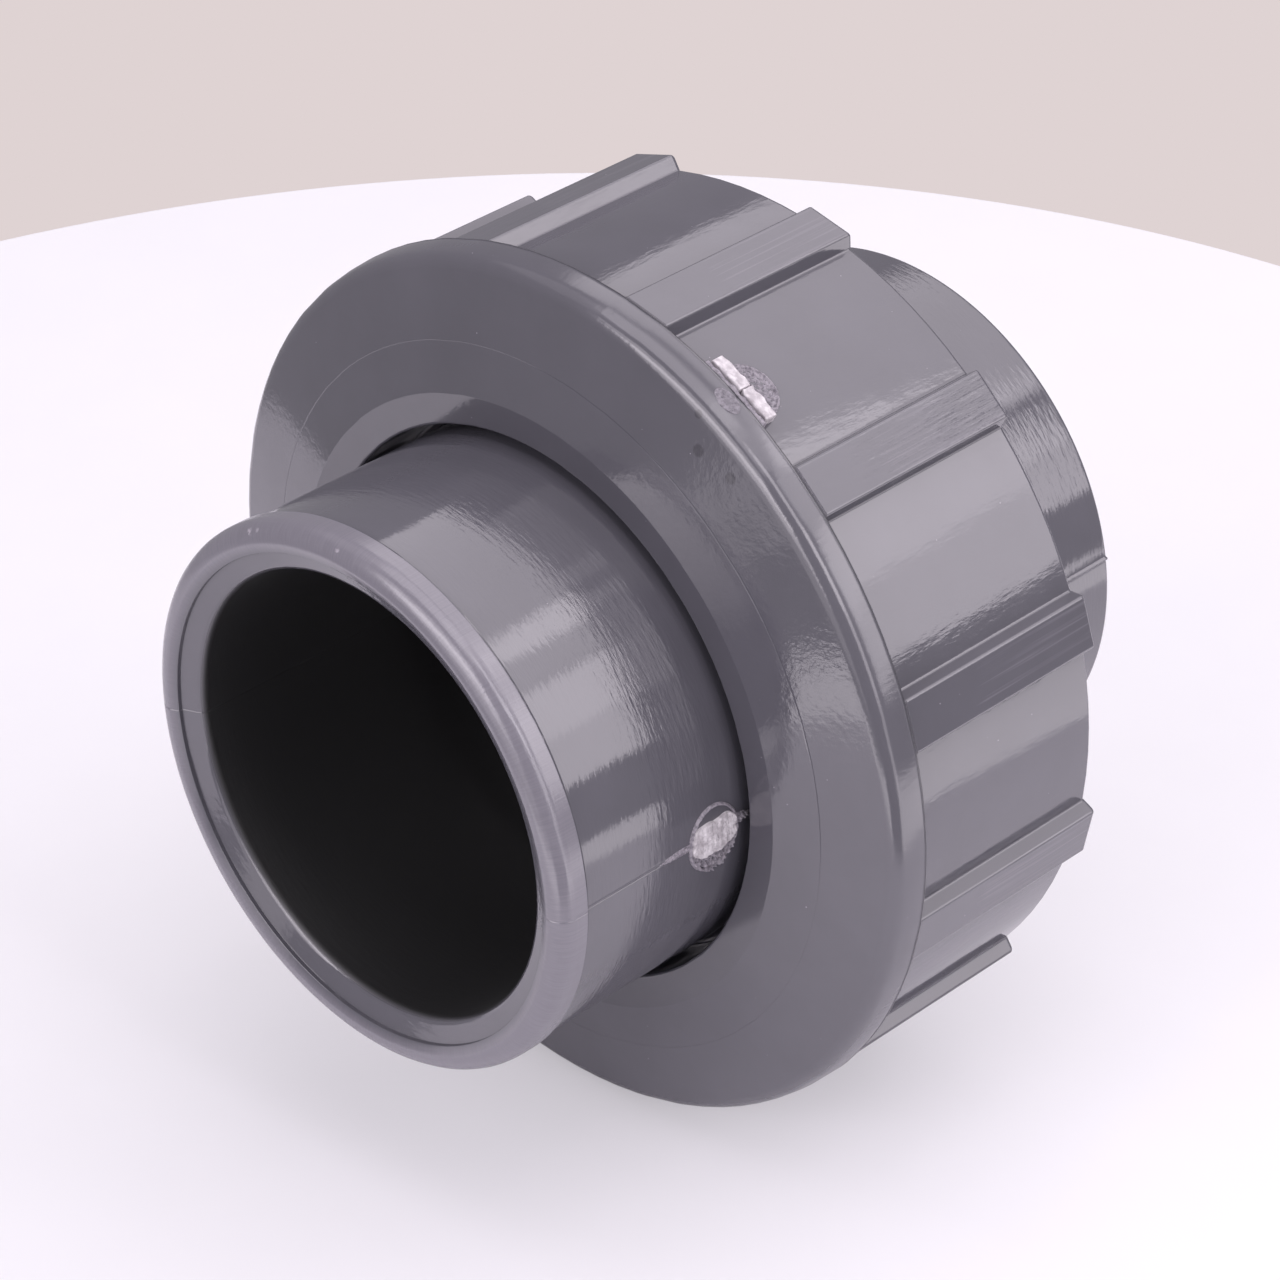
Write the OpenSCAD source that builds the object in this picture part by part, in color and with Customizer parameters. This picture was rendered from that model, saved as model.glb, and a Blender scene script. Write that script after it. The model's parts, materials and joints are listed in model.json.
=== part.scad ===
// Socket pipe union for solvent-welded plastic pipe, lying on its side.
// The pipe axis is Y. The tail piece and its nut face -Y, and the threaded body faces +Y.
// The origin is on the axis, where the two ends meet.

/* [Pipe sockets] */
// Bore of each socket, for pipe of 48.3 mm outside
socket_bore = 48.4; // [44:0.1:52]
// Depth of each socket, from its mouth to its stop
socket_depth = 34.7; // [28:0.1:45]
// Wall of the barrel round each socket
socket_wall = 5.15; // [4:0.05:7]
// Length of the taper that leads the pipe into the mouth
lead_in_length = 0.9; // [0.5:0.1:2.5]
// Width of that taper, measured across the wall
lead_in_width = 2.4; // [1:0.05:2.6]
// Height of the step round the mouth, left by the shoulder of the core pin
mouth_step = 0.45; // [0.1:0.05:0.7]
// How far each end of the union reaches past the socket's mouth
end_rise = 0.85; // [0.75:0.05:1.5]
// Bore of the waterway between the two stops
waterway_bore = 38.5; // [30:0.5:42]
// Length of each stop, from the socket's floor to the sealing plane
stop_length = 4.8; // [3.5:0.1:8]

/* [Tail piece] */
// Height of the rounded lip above the barrel
lip_height = 0.4; // [0.1:0.05:0.8]
// Radius of the rounding on the lip
lip_radius = 2; // [1:0.1:2.1]
// Length of the lip, from its front to its foot on the barrel
lip_length = 3.7; // [3:0.1:6]
// Thickness of the collar that the nut pulls on
collar_thickness = 8; // [5:0.1:9]
// Room between the collar and the crests of the nut's thread
collar_room = 1.1; // [0.5:0.1:2]
// Bevel in the corner between barrel and collar
collar_root = 0.8; // [0.3:0.1:1]
// Bevel on the collar's outer edges
collar_bevel = 0.6; // [0.2:0.1:1.2]

/* [Union nut] */
// Room between the nut's hole and the barrel of the tail piece
nut_hole_gap = 1.15; // [0.95:0.05:2]
// Thickness of the nut's shoulder at its hole
shoulder_thickness = 7.5; // [5:0.1:10]
// Width of the flat ring round the hole
face_ring_width = 3.5; // [2:0.1:5]
// Fall of that ring towards the hole
face_ring_fall = 0.23; // [0:0.01:0.5]
// Slope of the conical face, in degrees
face_slope = 14; // [8:0.5:18]
// Wall of the nut outside its thread
nut_wall = 5; // [4:0.1:7]
// Height of the flange above the nut's barrel
flange_rise = 1.9; // [1.7:0.1:3]
// Radius of the crowned rim, seen in section
rim_crown = 12; // [8:0.5:20]
// Rounding between the conical face and the rim
rim_rounding = 1; // [0.4:0.1:1.6]
// Distance from the front of the nut to the back of its flange
flange_back = 7; // [6:0.1:9]
// Length of the slope behind the flange, measured along the axis
flange_step = 0.4; // [0.1:0.1:1]
// Length of the nut from its front to its rear edge
nut_length = 33.6; // [30:0.1:36]
// Bevel on the nut's outer rear edge
nut_bevel = 0.4; // [0.2:0.1:0.8]
// Bevel that leads the thread into the nut's mouth
nut_mouth_bevel = 1; // [0.5:0.1:2]

/* [Grip ribs] */
// Number of ribs round the nut
rib_count = 12; // [6:1:18]
// Height of a rib above the nut's barrel
rib_height = 1.55; // [0.8:0.05:1.65]
// Width of a rib at its top
rib_top = 5.5; // [3:0.1:8]
// Draft of a rib's two sides, in degrees
rib_draft = 14; // [5:1:25]
// Size of the small flare at the foot of a rib
rib_foot = 0.3; // [0.1:0.05:0.6]

/* [Thread] */
// Outside diameter of the thread on the body
thread_diameter = 80.8; // [78:0.1:86]
// Advance of the nut in one turn
thread_pitch = 5; // [4.6:0.1:6]
// Height of the ridge on the body
thread_height = 2.2; // [1.6:0.1:2.6]
// Width of that ridge at its crest
crest_width = 1.5; // [1:0.1:1.7]
// Slope of its two flanks from square, in degrees
flank_slope = 17; // [10:1:20]
// Plain length between the body's front bevel and its thread
thread_lead = 0.2; // [0.1:0.1:1]
// Free space between crest and root, measured across the thread
thread_root_gap = 0.5; // [0.35:0.05:0.8]
// Free space on each flank, measured along the axis
thread_flank_gap = 0.25; // [0.2:0.05:0.4]

/* [Threaded body] */
// How far the threaded head reaches past the nut's rear edge
head_past_nut = 1.8; // [0.5:0.1:3]
// Bevel on the two ends of the head
head_bevel = 0.8; // [0.4:0.1:1.5]
// Fillet between the head and the socket hub
head_fillet = 2; // [0.5:0.1:4]
// Bevel on the outer edge of the hub's mouth
hub_bevel = 0.5; // [0.2:0.1:1.5]

/* [Seal] */
// Thickness of the O-ring's cord
ring_cord = 3.5; // [2.6:0.1:3.8]
// Mean diameter of the O-ring
ring_diameter = 62; // [56:0.5:66]
// Squeeze of the ring between groove and tail piece
ring_squeeze = 0.6; // [0.4:0.05:0.8]
// Room beside the ring in its groove, on each side
groove_room = 0.45; // [0.3:0.05:0.8]

/* [Running clearances] */
// Space between the two sealing faces when the nut is tight
seal_gap = 0.1; // [0.05:0.05:0.3]
// Space between the nut's shoulder and the collar
shoulder_gap = 0.1; // [0.05:0.05:0.3]

/* [Hidden] */

// Socket hubs
mouth_z = socket_depth + stop_length;
end_z = mouth_z + end_rise;
bore_r = socket_bore / 2;
waterway_r = waterway_bore / 2;
hub_r = bore_r + socket_wall;
lip_r = hub_r + lip_height;
mouth_r = bore_r + lead_in_width;

// Thread, from the body's ridge outwards to the nut
major_r = thread_diameter / 2;
core_r = major_r - thread_height;
root_width = crest_width + 2 * thread_height * tan(flank_slope);
nut_root_r = major_r + thread_root_gap;
nut_crest_r = core_r + thread_root_gap;
groove_spread = 2 * thread_root_gap * tan(flank_slope) - 2 * thread_flank_gap;
nut_root_width = thread_pitch - crest_width + groove_spread;
nut_crest_width = thread_pitch - root_width + groove_spread;

// Collar and nut
collar_r = nut_crest_r - collar_room;
hole_r = hub_r + nut_hole_gap;
shoulder_z = -collar_thickness - shoulder_gap;
nut_front_z = shoulder_z - shoulder_thickness - face_ring_fall;
nut_rear_z = nut_front_z + nut_length;
flange_back_z = nut_front_z + flange_back;
barrel_r = nut_root_r + nut_wall;
flange_r = barrel_r + flange_rise;
rib_r = barrel_r + rib_height;

// Head and seal
head_length = nut_rear_z + head_past_nut;
cord_r = ring_cord / 2;
ring_r = ring_diameter / 2;
groove_depth = ring_cord - ring_squeeze - seal_gap;

// Sections in one turn of a thread ridge, how deep it is rooted, and the turn of its run-in, in degrees
ring_steps = 48;
ridge_rooting = 0.4;
run_in = 30;

// Each ridge is wider at its root, so it starts and ends half of that width inside its piece
half_ridge = root_width / 2 + ridge_rooting * tan(flank_slope);
half_nut_ridge = nut_root_width / 2 + ridge_rooting * tan(flank_slope);
body_thread_start = seal_gap + head_bevel + thread_lead + half_ridge;
body_thread_end = head_length - head_bevel - half_ridge;
nut_thread_start = body_thread_start - thread_pitch / 2;
nut_thread_end = nut_rear_z - nut_mouth_bevel - half_nut_ridge;

$fn = 180;

// Turns a shape built along +Z so that it lies along +Y
module along_pipe() {
    rotate([-90, 0, 0])
        children();
}

// A pie slice of a circle, from one direction to another less than a half turn on
module sector(centre, radius, from, to) {
    reach = 2 * radius;
    middle = (from + to) / 2;
    translate(centre)
        intersection() {
            circle(r = radius);
            polygon([
                [0, 0],
                reach * [cos(from), sin(from)],
                reach * [cos(middle), sin(middle)],
                reach * [cos(to), sin(to)]
            ]);
        }
}

// Half section of the tail piece: socket, rounded lip, barrel and collar
module tail_section() {
    lip_z = -end_z + lip_radius;
    lip_foot_z = -end_z + lip_length;
    lip_inner_r = lip_r - lip_radius;
    collar_z = -collar_thickness;
    polygon([
        [waterway_r, -stop_length],
        [bore_r, -stop_length],
        [bore_r, -mouth_z + lead_in_length],
        [mouth_r, -mouth_z],
        [mouth_r, -mouth_z - mouth_step],
        [lip_inner_r, -end_z],
        [lip_inner_r, lip_z],
        [lip_r, lip_z],
        [lip_r, lip_foot_z - lip_height],
        [hub_r, lip_foot_z],
        [hub_r, collar_z - collar_root],
        [hub_r + collar_root, collar_z],
        [collar_r - collar_bevel, collar_z],
        [collar_r, collar_z + collar_bevel],
        [collar_r, -collar_bevel],
        [collar_r - collar_bevel, 0],
        [waterway_r, 0]
    ]);
    sector([lip_inner_r, lip_z], lip_radius, -90, 0);
}

module tail_piece() {
    color("#5d5b63")
        along_pipe()
            rotate_extrude()
                tail_section();
}

// A helical ridge: a trapezoid carried round the axis from angle zero, between two heights.
// It stands on base_r and reaches to tip_r, and it sinks away over the run-in at both ends.
module helical_ridge(base_r, tip_r, base_width, tip_width, from_z, to_z) {
    step_angle = 360 / ring_steps;
    steps = floor((to_z - from_z) / thread_pitch * ring_steps);
    last = steps * step_angle;
    out = sign(tip_r - base_r);
    low_r = base_r - out * ridge_rooting;
    flank = (base_width - tip_width) / (2 * abs(tip_r - base_r));
    low_width = base_width + 2 * flank * ridge_rooting;
    // a ridge starts this high, still below the surface that it stands on
    least = ridge_rooting / 3;
    full = abs(tip_r - low_r) - least;
    points = [
        for (i = [0:steps])
            let (
                angle = i * step_angle,
                rise = least + full * min(1, angle / run_in, (last - angle) / run_in),
                tip = low_r + out * rise,
                half_low = low_width / 2,
                half_tip = half_low - flank * rise,
                z = from_z + thread_pitch * angle / 360,
                ray = [cos(angle), sin(angle)]
            )
            each [
                [low_r * ray.x, low_r * ray.y, z - half_low],
                [tip * ray.x, tip * ray.y, z - half_tip],
                [tip * ray.x, tip * ray.y, z + half_tip],
                [low_r * ray.x, low_r * ray.y, z + half_low]
            ]
    ];
    sides = [
        for (i = [0:steps - 1])
            for (k = [0:3])
                let (
                    a = 4 * i + k,
                    b = 4 * i + (k + 1) % 4,
                    c = a + 4,
                    d = b + 4
                )
                each [[a, b, c], [b, d, c]]
    ];
    first_cap = [[0, 2, 1], [0, 3, 2]];
    far = 4 * steps;
    last_cap = [[far, far + 1, far + 2], [far, far + 2, far + 3]];
    wound = concat(sides, first_cap, last_cap);
    faces = out > 0 ? wound : [for (f = wound) [f[2], f[1], f[0]]];
    polyhedron(points, faces);
}

// Half section of the nut: hole, conical face, crowned flange, barrel and threaded chamber
module nut_section() {
    ring_outer_r = hole_r + face_ring_width;
    cone = [cos(face_slope), sin(face_slope)];
    inward = [-sin(face_slope), cos(face_slope)];
    // The rim's crown is an arc about this point, level with the back of the flange
    crown = [flange_r - rim_crown, flange_back_z];
    // The rounding's centre lies rim_rounding inside both the cone and the crown
    start = [ring_outer_r, nut_front_z] + rim_rounding * inward - crown;
    lag = start * cone;
    reach = sqrt(lag * lag - start * start + pow(rim_crown - rim_rounding, 2)) - lag;
    away = start + reach * cone;
    round_at = crown + away;
    crown_angle = atan2(away.y, away.x);
    polygon([
        [hole_r, shoulder_z],
        [hole_r, nut_front_z + face_ring_fall],
        [ring_outer_r, nut_front_z],
        round_at - rim_rounding * inward,
        round_at,
        crown + rim_crown * [cos(crown_angle), sin(crown_angle)],
        crown,
        [flange_r, flange_back_z],
        [barrel_r, flange_back_z + flange_step],
        [barrel_r, nut_rear_z - nut_bevel],
        [barrel_r - nut_bevel, nut_rear_z],
        [nut_root_r + nut_mouth_bevel, nut_rear_z],
        [nut_root_r, nut_rear_z - nut_mouth_bevel],
        [nut_root_r, shoulder_z]
    ]);
    sector(round_at, rim_rounding, face_slope - 90, crown_angle);
    sector(crown, rim_crown, crown_angle, 0);
}

// Section of one grip rib, from a third of the way into the nut's wall to its flat top
module rib_section() {
    rooted_r = barrel_r - nut_wall / 3;
    half_top = rib_top / 2;
    half_side = half_top + (rib_height - rib_foot) * tan(rib_draft);
    half_root = half_side + rib_foot;
    polygon([
        [rooted_r, -half_root],
        [barrel_r - rib_foot / 2, -half_root],
        [barrel_r + rib_foot, -half_side],
        [rib_r, -half_top],
        [rib_r, half_top],
        [barrel_r + rib_foot, half_side],
        [barrel_r - rib_foot / 2, half_root],
        [rooted_r, half_root]
    ]);
}

// Drafted ribs along the nut's barrel, from inside the flange to the nut's rear face
module grip_ribs() {
    from_z = flange_back_z - rib_height;
    for (i = [0:rib_count - 1])
        rotate((i + 0.5) * 360 / rib_count - 90)
            translate([0, 0, from_z])
                linear_extrude(nut_rear_z - from_z)
                    rib_section();
}

module union_nut() {
    color("#5a5860")
        along_pipe() {
            rotate_extrude()
                nut_section();
            grip_ribs();
            helical_ridge(
                nut_root_r, nut_crest_r, nut_root_width, nut_crest_width,
                nut_thread_start, nut_thread_end
            );
        }
}

// Half section of the threaded body without its thread: head, groove and socket hub
module body_section() {
    difference() {
        polygon([
            [waterway_r, seal_gap],
            [core_r - head_bevel, seal_gap],
            [core_r, seal_gap + head_bevel],
            [core_r, head_length - head_bevel],
            [core_r - head_bevel, head_length],
            [hub_r + head_fillet, head_length],
            [hub_r, head_length + head_fillet],
            [hub_r, end_z - hub_bevel],
            [hub_r - hub_bevel, end_z],
            [mouth_r + end_rise - mouth_step, end_z],
            [mouth_r, mouth_z + mouth_step],
            [mouth_r, mouth_z],
            [bore_r, mouth_z - lead_in_length],
            [bore_r, stop_length],
            [waterway_r, stop_length]
        ]);
        translate([ring_r - cord_r - groove_room, 0])
            square([ring_cord + 2 * groove_room, seal_gap + groove_depth]);
    }
    // the concave fillet: a square with a quarter of a circle taken out of it
    translate([hub_r, head_length])
        difference() {
            square(head_fillet);
            translate([head_fillet, head_fillet])
                circle(r = head_fillet);
        }
}

module threaded_body() {
    color("#5e5c64")
        along_pipe() {
            rotate_extrude()
                body_section();
            helical_ridge(
                core_r, major_r, root_width, crest_width,
                body_thread_start, body_thread_end
            );
        }
}

// The O-ring lies on the floor of its groove, flattened by the tail piece
module o_ring() {
    color("#1d1d1f")
        along_pipe()
            rotate_extrude()
                intersection() {
                    translate([ring_r, seal_gap + groove_depth - cord_r])
                        circle(r = cord_r, $fn = 48);
                    translate([ring_r - cord_r, seal_gap / 2])
                        square([ring_cord, ring_cord]);
                }
}

tail_piece();
union_nut();
threaded_body();
o_ring();
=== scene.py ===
import json
import math
import bpy
import numpy as np
from mathutils import Matrix, Vector


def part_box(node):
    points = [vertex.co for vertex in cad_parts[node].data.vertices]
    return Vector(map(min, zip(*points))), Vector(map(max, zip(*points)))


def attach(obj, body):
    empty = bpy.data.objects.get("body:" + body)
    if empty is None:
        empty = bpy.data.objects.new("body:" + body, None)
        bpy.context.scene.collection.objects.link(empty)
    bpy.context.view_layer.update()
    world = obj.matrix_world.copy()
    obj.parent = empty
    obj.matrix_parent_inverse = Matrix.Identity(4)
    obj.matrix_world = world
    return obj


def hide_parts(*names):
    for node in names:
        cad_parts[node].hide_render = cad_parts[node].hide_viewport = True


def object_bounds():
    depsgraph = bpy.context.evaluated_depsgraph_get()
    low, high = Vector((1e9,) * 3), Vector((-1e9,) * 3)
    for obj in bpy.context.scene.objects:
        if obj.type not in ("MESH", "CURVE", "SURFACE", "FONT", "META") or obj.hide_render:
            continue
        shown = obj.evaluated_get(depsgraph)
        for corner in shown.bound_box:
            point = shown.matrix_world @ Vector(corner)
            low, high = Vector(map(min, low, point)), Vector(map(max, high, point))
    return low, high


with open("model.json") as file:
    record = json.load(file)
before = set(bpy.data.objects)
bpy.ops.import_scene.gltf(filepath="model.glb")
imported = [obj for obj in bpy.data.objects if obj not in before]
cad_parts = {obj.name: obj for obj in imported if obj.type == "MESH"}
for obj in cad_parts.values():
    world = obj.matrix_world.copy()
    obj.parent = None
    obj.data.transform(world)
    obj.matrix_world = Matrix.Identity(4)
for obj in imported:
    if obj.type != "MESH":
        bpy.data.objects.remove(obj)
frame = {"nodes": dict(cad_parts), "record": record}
cad_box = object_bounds()


# Threaded body: the end that stays on the pipe run, injection-moulded in grey rigid PVC.
# It is a head with a coarse right-hand thread and a groove in its face, and a plain socket hub.
# The core pin that formed the socket left a crisp lead-in at its mouth.
MM = 0.001  # sizes below are in mm, and Blender's unit is the metre
SHADING_GUARD = 0.06  # mm, how close to a fillet the flat part of a face begins


def in_mm(node):
    """Lowest and highest corner of a CAD node, in millimetres."""
    low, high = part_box(node)
    return np.array(low) / MM, np.array(high) / MM


def rounded_outline(corners, arc_points=7):
    """Closed outline through corners (a, b, fillet) in mm, with an arc in place of each corner.

    The arc's centre lies on the corner's bisector at fillet / sin(half the inner angle), and it
    starts and ends fillet / tan(half the inner angle) away from the corner, where it touches
    both sides. A point SHADING_GUARD outside each end keeps the straight sides flat in shading,
    where the next arc leaves room for it.
    """
    corners = np.array(corners, float)
    corner, fillet = corners[:, :2], corners[:, 2:]
    before = np.roll(corner, 1, 0) - corner
    after = np.roll(corner, -1, 0) - corner
    before /= np.linalg.norm(before, axis=1, keepdims=True)
    after /= np.linalg.norm(after, axis=1, keepdims=True)
    half = np.arccos(np.clip((before * after).sum(1, keepdims=True), -1, 1)) / 2
    bisector = (before + after) / np.linalg.norm(before + after, axis=1, keepdims=True)
    centre = corner + bisector * fillet / np.sin(half)
    reach = fillet / np.tan(half)
    first = corner + before * reach - centre
    last = corner + after * reach - centre
    start = np.arctan2(first[:, 1], first[:, 0])[:, None]
    swing = np.arctan2(last[:, 1], last[:, 0])[:, None] - start
    swing = (swing + math.pi) % (2 * math.pi) - math.pi
    angle = start + swing * np.linspace(0, 1, arc_points)
    arc = centre[:, None] + fillet[:, :, None] * np.stack([np.cos(angle), np.sin(angle)], -1)
    side = np.roll(arc[:, 0], -1, 0) - arc[:, -1]
    guard = np.where(np.linalg.norm(side, axis=1) > 3 * SHADING_GUARD, SHADING_GUARD, 0)[:, None]
    lead = arc[:, :1] + (np.roll(guard, 1, 0) * before)[:, None]
    tail = arc[:, -1:] + (guard * after)[:, None]
    points = np.concatenate([lead, arc, tail], 1).reshape(-1, 2)
    step = np.linalg.norm(np.roll(points, -1, 0) - points, axis=1)
    return points[step > 0.002]


def turned(outline, angles):
    """Grid of an outline (y, r) turned about the pipe axis: x = r sin(angle), z = r cos(angle)."""
    y, r = outline[:, :1], outline[:, 1:]
    return np.stack([r * np.sin(angles), y + 0 * angles, r * np.cos(angles)], -1)


def piece_of(name, rings, open_grids=()):
    """One mesh of closed grids and of capped ones, all (rows, columns, xyz) in mm.

    A ring closes both ways. An open grid closes along its columns only, and an n-gon caps each end.
    Point (i, j) has index i * columns + j, and each quad joins it to (i + 1, j + 1).
    """
    points, faces, count = [], [], 0
    for grid in [*rings, *open_grids]:
        rows, columns = grid.shape[:2]
        index = np.arange(rows * columns).reshape(rows, columns) + count
        below = np.roll(index, -1, 0) if any(grid is ring for ring in rings) else index[1:]
        here = index[: len(below)]
        beside = np.roll(here, -1, 1)
        faces += np.stack([here, beside, np.roll(below, -1, 1), below], -1).reshape(-1, 4).tolist()
        if len(below) < rows:
            faces += [index[0, ::-1].tolist(), index[-1].tolist()]
        points.append(grid.reshape(-1, 3) * MM)
        count += rows * columns
    mesh = bpy.data.meshes.new(name)
    mesh.from_pydata(np.concatenate(points).tolist(), [], faces)
    mesh.shade_smooth()
    piece = bpy.data.objects.new(name, mesh)
    bpy.context.collection.objects.link(piece)
    return piece


RUN_IN = 30  # degrees that a thread takes at either end to rise to its height
LOWEST = 0.08  # share of its height, from its sunk foot up, that it starts with
NARROWEST = 0.6  # share of its width that it starts with


def thread_ridge(root_r, crest_r, root_width, crest_width, start_y, turns, pitch):
    """Grid of a thread ridge: a trapezoid with rounded crest corners, carried along a helix.

    At helix angle t the ridge's middle is at y = start_y + pitch * t / 360. Its foot flares out and
    lies sunk in the surface that it stands on. Its height above that foot grows from LOWEST, and
    its width from NARROWEST, to the whole over the first RUN_IN degrees, and so at the other end.
    """
    out = math.copysign(1, crest_r - root_r)
    height = abs(crest_r - root_r)
    flare, sunk = 0.45, 0.35
    half_root, half_crest = root_width / 2, crest_width / 2
    section = rounded_outline([
        (-half_root - flare, -sunk, 0.05),
        (-half_root, 0.1, 0.3),
        (-half_crest, height, 0.35),
        (half_crest, height, 0.35),
        (half_root, 0.1, 0.3),
        (half_root + flare, -sunk, 0.05)
    ], arc_points=4)
    angle = np.arange(0, 360 * turns, 3.0)
    rise = np.minimum(1, np.minimum(angle, angle[-1] - angle) / RUN_IN)[:, None]
    above = (section[:, 1] + sunk) * (LOWEST + (1 - LOWEST) * rise) - sunk
    radius = root_r + out * above
    width = section[:, 0] * (NARROWEST + (1 - NARROWEST) * rise)
    y = start_y + pitch * angle[:, None] / 360 + width
    turn = np.radians(angle)[:, None]
    grid = np.stack([radius * np.cos(turn), y, -radius * np.sin(turn)], -1)
    return grid[:, ::-1] if out > 0 else grid


body_low, body_high = in_mm("threaded_body")
ring_high = in_mm("o_ring")[1]
socket = next(m for m in frame["record"]["mounts"] if m["name"] == "body_socket")["dims"]
bore_r = socket["r_mm"]
seal_y = body_low[1]
hub_end = body_high[1]
thread_r = body_high[0]
PITCH = 5.0
THREAD_HEIGHT = 2.2
THREAD_FLANK = math.radians(17)
THREAD_CREST = 1.5
THREAD_ROOT = THREAD_CREST + 2 * THREAD_HEIGHT * math.tan(THREAD_FLANK)
HEAD_END = 19.57
HEAD_BEVEL = 0.8
HUB_R = 29.35
HUB_FOOT = 2.0
STOP_Y = 4.8
WATERWAY_R = 19.25
LEAD_IN = 0.9  # how deep the bevel at a socket's mouth reaches
LEAD_IN_WIDTH = 2.4  # how far it widens the mouth
MOUTH_STEP = 0.45
END_RISE = 0.85  # how far the end stands out in front of the mouth
GROOVE_IN = 28.8
GROOVE_OUT = 33.2
mouth_plane = hub_end - END_RISE
mouth_r = bore_r + LEAD_IN_WIDTH
core_r = thread_r - THREAD_HEIGHT
groove_floor = ring_high[1]
body_outline = rounded_outline([
    (seal_y, WATERWAY_R, 0.3),
    (seal_y, GROOVE_IN, 0.15),
    (groove_floor, GROOVE_IN, 0.3),
    (groove_floor, GROOVE_OUT, 0.3),
    (seal_y, GROOVE_OUT, 0.15),
    (seal_y, core_r - HEAD_BEVEL, 0.3),
    (seal_y + HEAD_BEVEL, core_r, 0.3),
    (HEAD_END - HEAD_BEVEL, core_r, 0.3),
    (HEAD_END, core_r - HEAD_BEVEL, 0.3),
    (HEAD_END, HUB_R, HUB_FOOT),
    (hub_end, HUB_R, 0.5),
    (hub_end, mouth_r + END_RISE - MOUTH_STEP, 0.3),
    (mouth_plane + MOUTH_STEP, mouth_r, 0.08),
    (mouth_plane, mouth_r, 0.05),
    (mouth_plane - LEAD_IN, bore_r, 0.6),
    (STOP_Y, bore_r, 0.4),
    (STOP_Y, WATERWAY_R, 0.3)
])

COLUMNS_ROUND = 240
FLASH_STEPS = [-0.8, -0.5, -0.32, -0.2, -0.1, 0, 0.1, 0.2, 0.32, 0.5, 0.8]  # degrees
FLASH_FADE = 0.15  # mm along the pipe
OUTER_WALL = 2.6  # mm from the hub's radius inward that count as the outside


def columns_round(flash_angles):
    """Angles of the columns: even ones, and FLASH_STEPS to either side of each line of flash."""
    even = np.linspace(-math.pi, math.pi, COLUMNS_ROUND, endpoint=False)
    close = np.radians(np.concatenate([np.array(flash_angles) + d for d in FLASH_STEPS]))
    return np.sort(np.concatenate([even, close]))


def flash_lines(outline, angles, flash_angles, height, half_width, from_y, to_y):
    """How far each point of a turned grid stands out along a parting line, in mm.

    height * exp(-(arc length from the line / half_width) ** 2), broken up along the pipe by two
    sines of uneven rates. It fades in over FLASH_FADE from from_y and out again before to_y, and
    what lies more than OUTER_WALL inside the hub's radius has none.
    """
    y, r = outline[:, :1], outline[:, 1:]
    rise = 0 * y * angles
    for at in flash_angles:
        turn = (angles - math.radians(at) + math.pi) % (2 * math.pi) - math.pi
        rise += np.exp(-(turn * r / half_width) ** 2)
    beads = 0.7 + 0.3 * np.sin(9.1 * y + 1.3) * np.sin(3.7 * y)
    ends = np.clip(np.minimum(y - from_y, to_y - y) / FLASH_FADE, 0, 1) * (r > HUB_R - OUTER_WALL)
    return height * rise * beads * ends


def outward(outline):
    """Unit normals (y, r) of a closed outline that runs with its material on the right-hand side.

    Each is the chord from the point before to the point after, turned a quarter to the left.
    """
    chord = np.roll(outline, -1, 0) - np.roll(outline, 1, 0)
    chord /= np.linalg.norm(chord, axis=1, keepdims=True)
    return np.stack([-chord[:, 1], chord[:, 0]], 1)


HUB_FLASH = [83.1, -96.9]  # degrees, the two sides where the mould's halves met
body_columns = columns_round(HUB_FLASH)
body_rise = flash_lines(
    body_outline, body_columns, HUB_FLASH, height=0.4, half_width=0.17,
    from_y=HEAD_END + 1, to_y=hub_end - 0.1
)
body_normal = outward(body_outline)
body_grid = turned(body_outline, body_columns) + turned(body_normal, body_columns) * body_rise[..., None]
threaded_body = piece_of(
    "threaded_body_moulding",
    [body_grid],
    [thread_ridge(core_r, thread_r, THREAD_ROOT, THREAD_CREST, start_y=2.65, turns=2.9, pitch=PITCH)]
)
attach(threaded_body, "body_end")
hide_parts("threaded_body")


def linear(hex_colour, factor=1.0):
    """Scene-linear RGBA of an sRGB hex colour, its brightness times a factor.

    Each part v becomes v / 12.92 below 0.04045, and else ((v + 0.055) / 1.055) ** 2.4.
    """
    v = np.array([int(hex_colour[i:i + 2], 16) for i in (1, 3, 5)]) / 255
    rgb = factor * np.where(v < 0.04045, v / 12.92, ((v + 0.055) / 1.055) ** 2.4)
    return (*rgb.tolist(), 1.0)


def add_node(tree, kind, inputs=(), **settings):
    """Adds a shader node with its settings and gives its outputs.

    Each input is a value or another node's output, under its name, or under its number where names
    repeat. A Mix node takes its share as 0, two numbers as 2 and 3 or two colours as 6 and 7, and
    gives the number as 0 or the colour as 2.
    """
    made = tree.nodes.new("ShaderNode" + kind)
    for key, value in settings.items():
        setattr(made, key, value)
    for key, value in dict(inputs).items():
        if isinstance(value, bpy.types.NodeSocket):
            tree.links.new(value, made.inputs[key])
        else:
            made.inputs[key].default_value = value
    return made.outputs


def new_material(name):
    """Empty material with its node tree and its Object coordinates, in metres."""
    material = bpy.data.materials.new(name)
    material.use_nodes = True
    tree = material.node_tree
    tree.nodes.clear()
    return material, tree, add_node(tree, "TexCoord")["Object"]


PVC_IOR = 1.53


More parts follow.
